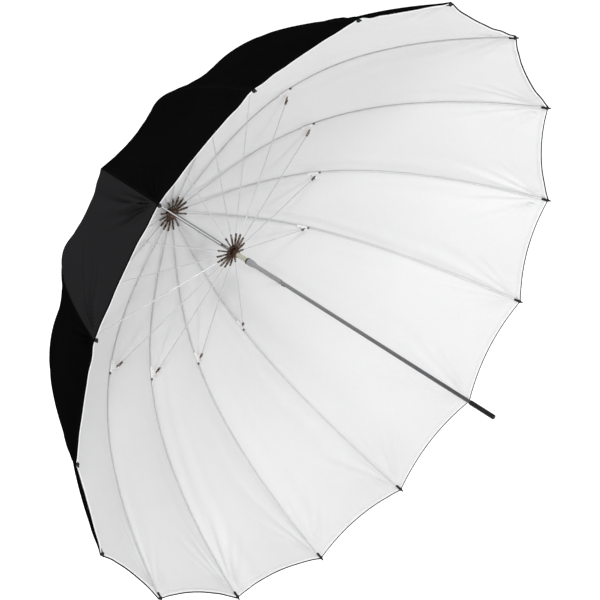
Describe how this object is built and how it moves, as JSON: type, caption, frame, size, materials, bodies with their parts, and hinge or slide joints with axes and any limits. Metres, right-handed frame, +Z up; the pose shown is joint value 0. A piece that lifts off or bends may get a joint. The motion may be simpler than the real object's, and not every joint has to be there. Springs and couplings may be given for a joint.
{
  "type": "umbrella reflector",
  "caption": "Deep folding studio umbrella reflector: curved ribs on a sliding runner hold a bowl of white-lined black cloth about a slim steel shaft.",
  "frame": {"origin": "on the shaft's axis, in the middle of the stretch that a stand bracket or a lamp head clamps", "axes": "+Y along the shaft from the grip to the hub, so the open mouth faces -Y; +Z up, opposite the catch; +X across"},
  "size_m": [1.355, 0.9685, 1.355],
  "materials": {
    "shaft_steel": "satin",
    "black_plastic": "matte",
    "bronze_metal": "satin",
    "spring_steel": "satin",
    "pale_nylon": "satin",
    "grey_sleeve": "satin",
    "rib_steel": "satin",
    "stretcher_steel": "satin",
    "canopy_fabric": "white inner cloth, matte",
    "canopy_black": "black outer cloth, slight sheen",
    "white_nylon": "satin"
  },
  "bodies": {
    "root": {"shaft_tube": "shaft_steel", "shaft_end_cap": "black_plastic", "top_notch": "bronze_metal", "top_notch_wire": "spring_steel", "canopy_rosette": "black_plastic", "finial": "black_plastic"},
    "runner": {"runner_crown": "bronze_metal", "runner_wire": "spring_steel", "runner_neck": "pale_nylon", "runner_band": "black_plastic", "runner_sleeve": "grey_sleeve"},
    "catch": {"open_catch": "spring_steel"},
    "rib_01": {"rib_01": "rib_steel", "canopy_panel_01": "canopy_fabric"},
    "stretcher_01": {"stretcher_01": "stretcher_steel"},
    "rib_02": {"rib_02": "rib_steel", "canopy_panel_02": "canopy_fabric"},
    "stretcher_02": {"stretcher_02": "stretcher_steel"},
    "rib_03": {"rib_03": "rib_steel", "canopy_panel_03": "canopy_fabric"},
    "stretcher_03": {"stretcher_03": "stretcher_steel"},
    "rib_04": {"rib_04": "rib_steel", "canopy_panel_04": "canopy_fabric"},
    "stretcher_04": {"stretcher_04": "stretcher_steel"},
    "rib_05": {"rib_05": "rib_steel", "canopy_panel_05": "canopy_fabric"},
    "stretcher_05": {"stretcher_05": "stretcher_steel"},
    "rib_06": {"rib_06": "rib_steel", "canopy_panel_06": "canopy_fabric"},
    "stretcher_06": {"stretcher_06": "stretcher_steel"},
    "rib_07": {"rib_07": "rib_steel", "canopy_panel_07": "canopy_fabric"},
    "stretcher_07": {"stretcher_07": "stretcher_steel"},
    "rib_08": {"rib_08": "rib_steel", "canopy_panel_08": "canopy_fabric"},
    "stretcher_08": {"stretcher_08": "stretcher_steel"},
    "rib_09": {"rib_09": "rib_steel", "canopy_panel_09": "canopy_fabric"},
    "stretcher_09": {"stretcher_09": "stretcher_steel"},
    "rib_10": {"rib_10": "rib_steel", "canopy_panel_10": "canopy_fabric"},
    "stretcher_10": {"stretcher_10": "stretcher_steel"},
    "rib_11": {"rib_11": "rib_steel", "canopy_panel_11": "canopy_fabric"},
    "stretcher_11": {"stretcher_11": "stretcher_steel"},
    "rib_12": {"rib_12": "rib_steel", "canopy_panel_12": "canopy_fabric"},
    "stretcher_12": {"stretcher_12": "stretcher_steel"},
    "rib_13": {"rib_13": "rib_steel", "canopy_panel_13": "canopy_fabric"},
    "stretcher_13": {"stretcher_13": "stretcher_steel"},
    "rib_14": {"rib_14": "rib_steel", "canopy_panel_14": "canopy_fabric"},
    "stretcher_14": {"stretcher_14": "stretcher_steel"},
    "rib_15": {"rib_15": "rib_steel", "canopy_panel_15": "canopy_fabric"},
    "stretcher_15": {"stretcher_15": "stretcher_steel"},
    "rib_16": {"rib_16": "rib_steel", "canopy_panel_16": "canopy_fabric"},
    "stretcher_16": {"stretcher_16": "stretcher_steel"}
  },
  "joints": [
    {"name": "runner_slide", "type": "slide", "parent": "root", "child": "runner", "axis": [0, -1, 0], "range_m": [0, 0.446], "deforming": ["open_catch", "canopy_panel_01", "canopy_panel_02", "canopy_panel_03", "canopy_panel_04", "canopy_panel_05", "canopy_panel_06", "canopy_panel_07", "canopy_panel_08", "canopy_panel_09", "canopy_panel_10", "canopy_panel_11", "canopy_panel_12", "canopy_panel_13", "canopy_panel_14", "canopy_panel_15", "canopy_panel_16"]},
    {"name": "catch_press", "type": "slide", "parent": "root", "child": "catch", "axis": [0, 0, 1], "range_m": [0, 0.0033], "stiffness_N_per_m": 400},
    {"name": "rib_01_fold", "type": "hinge", "parent": "root", "child": "rib_01", "pos_m": [0.00548, 0.829, 0.01123], "axis": [0.8988, 0, -0.4384], "range_deg": [0, 51.42]},
    {"name": "stretcher_01_fold", "type": "hinge", "parent": "rib_01", "child": "stretcher_01", "pos_m": [0.15124, 0.731, 0.31008], "axis": [-0.8988, 0, 0.4384], "range_deg": [0, 102.84]},
    {"name": "rib_02_fold", "type": "hinge", "parent": "root", "child": "rib_02", "pos_m": [0.00936, 0.829, 0.00828], "axis": [0.6626, 0, -0.749], "range_deg": [0, 51.42]},
    {"name": "stretcher_02_fold", "type": "hinge", "parent": "rib_02", "child": "stretcher_02", "pos_m": [0.25839, 0.731, 0.2286], "axis": [-0.6626, 0, 0.749], "range_deg": [0, 102.84]},
    {"name": "rib_03_fold", "type": "hinge", "parent": "root", "child": "rib_03", "pos_m": [0.01182, 0.829, 0.00407], "axis": [0.3256, 0, -0.9455], "range_deg": [0, 51.42]},
    {"name": "stretcher_03_fold", "type": "hinge", "parent": "rib_03", "child": "stretcher_03", "pos_m": [0.3262, 0.731, 0.11232], "axis": [-0.3256, 0, 0.9455], "range_deg": [0, 102.84]},
    {"name": "rib_04_fold", "type": "hinge", "parent": "root", "child": "rib_04", "pos_m": [0.01248, 0.829, -0.00076], "axis": [-0.061, 0, -0.9981], "range_deg": [0, 51.42]},
    {"name": "stretcher_04_fold", "type": "hinge", "parent": "rib_04", "child": "stretcher_04", "pos_m": [0.34436, 0.731, -0.02106], "axis": [0.061, 0, 0.9981], "range_deg": [0, 102.84]},
    {"name": "rib_05_fold", "type": "hinge", "parent": "root", "child": "rib_05", "pos_m": [0.01123, 0.829, -0.00548], "axis": [-0.4384, 0, -0.8988], "range_deg": [0, 51.42]},
    {"name": "stretcher_05_fold", "type": "hinge", "parent": "rib_05", "child": "stretcher_05", "pos_m": [0.31008, 0.731, -0.15124], "axis": [0.4384, 0, 0.8988], "range_deg": [0, 102.84]},
    {"name": "rib_06_fold", "type": "hinge", "parent": "root", "child": "rib_06", "pos_m": [0.00828, 0.829, -0.00936], "axis": [-0.749, 0, -0.6626], "range_deg": [0, 51.42]},
    {"name": "stretcher_06_fold", "type": "hinge", "parent": "rib_06", "child": "stretcher_06", "pos_m": [0.2286, 0.731, -0.25839], "axis": [0.749, 0, 0.6626], "range_deg": [0, 102.84]},
    {"name": "rib_07_fold", "type": "hinge", "parent": "root", "child": "rib_07", "pos_m": [0.00407, 0.829, -0.01182], "axis": [-0.9455, 0, -0.3256], "range_deg": [0, 51.42]},
    {"name": "stretcher_07_fold", "type": "hinge", "parent": "rib_07", "child": "stretcher_07", "pos_m": [0.11232, 0.731, -0.3262], "axis": [0.9455, 0, 0.3256], "range_deg": [0, 102.84]},
    {"name": "rib_08_fold", "type": "hinge", "parent": "root", "child": "rib_08", "pos_m": [-0.00076, 0.829, -0.01248], "axis": [-0.9981, 0, 0.061], "range_deg": [0, 51.42]},
    {"name": "stretcher_08_fold", "type": "hinge", "parent": "rib_08", "child": "stretcher_08", "pos_m": [-0.02106, 0.731, -0.34436], "axis": [0.9981, 0, -0.061], "range_deg": [0, 102.84]},
    {"name": "rib_09_fold", "type": "hinge", "parent": "root", "child": "rib_09", "pos_m": [-0.00548, 0.829, -0.01123], "axis": [-0.8988, 0, 0.4384], "range_deg": [0, 51.42]},
    {"name": "stretcher_09_fold", "type": "hinge", "parent": "rib_09", "child": "stretcher_09", "pos_m": [-0.15124, 0.731, -0.31008], "axis": [0.8988, 0, -0.4384], "range_deg": [0, 102.84]},
    {"name": "rib_10_fold", "type": "hinge", "parent": "root", "child": "rib_10", "pos_m": [-0.00936, 0.829, -0.00828], "axis": [-0.6626, 0, 0.749], "range_deg": [0, 51.42]},
    {"name": "stretcher_10_fold", "type": "hinge", "parent": "rib_10", "child": "stretcher_10", "pos_m": [-0.25839, 0.731, -0.2286], "axis": [0.6626, 0, -0.749], "range_deg": [0, 102.84]},
    {"name": "rib_11_fold", "type": "hinge", "parent": "root", "child": "rib_11", "pos_m": [-0.01182, 0.829, -0.00407], "axis": [-0.3256, 0, 0.9455], "range_deg": [0, 51.42]},
    {"name": "stretcher_11_fold", "type": "hinge", "parent": "rib_11", "child": "stretcher_11", "pos_m": [-0.3262, 0.731, -0.11232], "axis": [0.3256, 0, -0.9455], "range_deg": [0, 102.84]},
    {"name": "rib_12_fold", "type": "hinge", "parent": "root", "child": "rib_12", "pos_m": [-0.01248, 0.829, 0.00076], "axis": [0.061, 0, 0.9981], "range_deg": [0, 51.42]},
    {"name": "stretcher_12_fold", "type": "hinge", "parent": "rib_12", "child": "stretcher_12", "pos_m": [-0.34436, 0.731, 0.02106], "axis": [-0.061, 0, -0.9981], "range_deg": [0, 102.84]},
    {"name": "rib_13_fold", "type": "hinge", "parent": "root", "child": "rib_13", "pos_m": [-0.01123, 0.829, 0.00548], "axis": [0.4384, 0, 0.8988], "range_deg": [0, 51.42]},
    {"name": "stretcher_13_fold", "type": "hinge", "parent": "rib_13", "child": "stretcher_13", "pos_m": [-0.31008, 0.731, 0.15124], "axis": [-0.4384, 0, -0.8988], "range_deg": [0, 102.84]},
    {"name": "rib_14_fold", "type": "hinge", "parent": "root", "child": "rib_14", "pos_m": [-0.00828, 0.829, 0.00936], "axis": [0.749, 0, 0.6626], "range_deg": [0, 51.42]},
    {"name": "stretcher_14_fold", "type": "hinge", "parent": "rib_14", "child": "stretcher_14", "pos_m": [-0.2286, 0.731, 0.25839], "axis": [-0.749, 0, -0.6626], "range_deg": [0, 102.84]},
    {"name": "rib_15_fold", "type": "hinge", "parent": "root", "child": "rib_15", "pos_m": [-0.00407, 0.829, 0.01182], "axis": [0.9455, 0, 0.3256], "range_deg": [0, 51.42]},
    {"name": "stretcher_15_fold", "type": "hinge", "parent": "rib_15", "child": "stretcher_15", "pos_m": [-0.11232, 0.731, 0.3262], "axis": [-0.9455, 0, -0.3256], "range_deg": [0, 102.84]},
    {"name": "rib_16_fold", "type": "hinge", "parent": "root", "child": "rib_16", "pos_m": [0.00076, 0.829, 0.01248], "axis": [0.9981, 0, -0.061], "range_deg": [0, 51.42]},
    {"name": "stretcher_16_fold", "type": "hinge", "parent": "rib_16", "child": "stretcher_16", "pos_m": [0.02106, 0.731, 0.34436], "axis": [-0.9981, 0, 0.061], "range_deg": [0, 102.84]}
  ],
  "couplings": [
    {"joint": "rib_01_fold", "follows": "runner_slide", "rad_per_m": 2.0114},
    {"joint": "stretcher_01_fold", "follows": "runner_slide", "rad_per_m": 4.0229},
    {"joint": "rib_02_fold", "follows": "runner_slide", "rad_per_m": 2.0114},
    {"joint": "stretcher_02_fold", "follows": "runner_slide", "rad_per_m": 4.0229},
    {"joint": "rib_03_fold", "follows": "runner_slide", "rad_per_m": 2.0114},
    {"joint": "stretcher_03_fold", "follows": "runner_slide", "rad_per_m": 4.0229},
    {"joint": "rib_04_fold", "follows": "runner_slide", "rad_per_m": 2.0114},
    {"joint": "stretcher_04_fold", "follows": "runner_slide", "rad_per_m": 4.0229},
    {"joint": "rib_05_fold", "follows": "runner_slide", "rad_per_m": 2.0114},
    {"joint": "stretcher_05_fold", "follows": "runner_slide", "rad_per_m": 4.0229},
    {"joint": "rib_06_fold", "follows": "runner_slide", "rad_per_m": 2.0114},
    {"joint": "stretcher_06_fold", "follows": "runner_slide", "rad_per_m": 4.0229},
    {"joint": "rib_07_fold", "follows": "runner_slide", "rad_per_m": 2.0114},
    {"joint": "stretcher_07_fold", "follows": "runner_slide", "rad_per_m": 4.0229},
    {"joint": "rib_08_fold", "follows": "runner_slide", "rad_per_m": 2.0114},
    {"joint": "stretcher_08_fold", "follows": "runner_slide", "rad_per_m": 4.0229},
    {"joint": "rib_09_fold", "follows": "runner_slide", "rad_per_m": 2.0114},
    {"joint": "stretcher_09_fold", "follows": "runner_slide", "rad_per_m": 4.0229},
    {"joint": "rib_10_fold", "follows": "runner_slide", "rad_per_m": 2.0114},
    {"joint": "stretcher_10_fold", "follows": "runner_slide", "rad_per_m": 4.0229},
    {"joint": "rib_11_fold", "follows": "runner_slide", "rad_per_m": 2.0114},
    {"joint": "stretcher_11_fold", "follows": "runner_slide", "rad_per_m": 4.0229},
    {"joint": "rib_12_fold", "follows": "runner_slide", "rad_per_m": 2.0114},
    {"joint": "stretcher_12_fold", "follows": "runner_slide", "rad_per_m": 4.0229},
    {"joint": "rib_13_fold", "follows": "runner_slide", "rad_per_m": 2.0114},
    {"joint": "stretcher_13_fold", "follows": "runner_slide", "rad_per_m": 4.0229},
    {"joint": "rib_14_fold", "follows": "runner_slide", "rad_per_m": 2.0114},
    {"joint": "stretcher_14_fold", "follows": "runner_slide", "rad_per_m": 4.0229},
    {"joint": "rib_15_fold", "follows": "runner_slide", "rad_per_m": 2.0114},
    {"joint": "stretcher_15_fold", "follows": "runner_slide", "rad_per_m": 4.0229},
    {"joint": "rib_16_fold", "follows": "runner_slide", "rad_per_m": 2.0114},
    {"joint": "stretcher_16_fold", "follows": "runner_slide", "rad_per_m": 4.0229}
  ]
}
